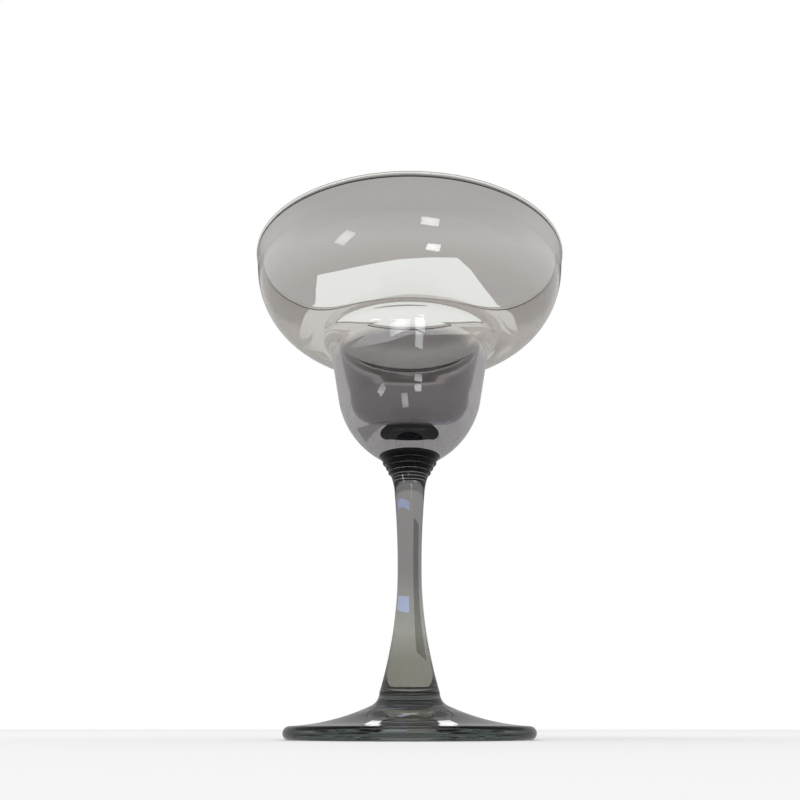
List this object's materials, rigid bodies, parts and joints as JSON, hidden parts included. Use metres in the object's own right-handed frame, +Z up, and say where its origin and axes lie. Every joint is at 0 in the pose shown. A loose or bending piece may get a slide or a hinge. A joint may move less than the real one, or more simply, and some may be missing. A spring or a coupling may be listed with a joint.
{
  "type": "margarita glass",
  "caption": "Stemmed cocktail glass with a wide saucer bowl over a narrower round cup, a ringed neck, a waisted solid stem and a hollowed round foot.",
  "frame": {"origin": "middle of the foot's underside, on the table", "axes": "+Z up along the axis of the glass; the glass is the same all round, so +X and +Y are any two square directions"},
  "size_m": [0.1182, 0.118, 0.172],
  "materials": {
    "bowl_glass": "fire-polished clear glass with a warm grey cast",
    "neck_glass": "thick clear glass with fine pressed rings, nearly black against a white ground",
    "stem_glass": "drawn clear glass with soft vertical streaks",
    "foot_glass": "pressed clear glass, green-grey at its edge"
  },
  "bodies": {
    "root": {"bowl": "bowl_glass", "neck_collar": "neck_glass", "stem": "stem_glass", "foot": "foot_glass"}
  },
  "joints": []
}
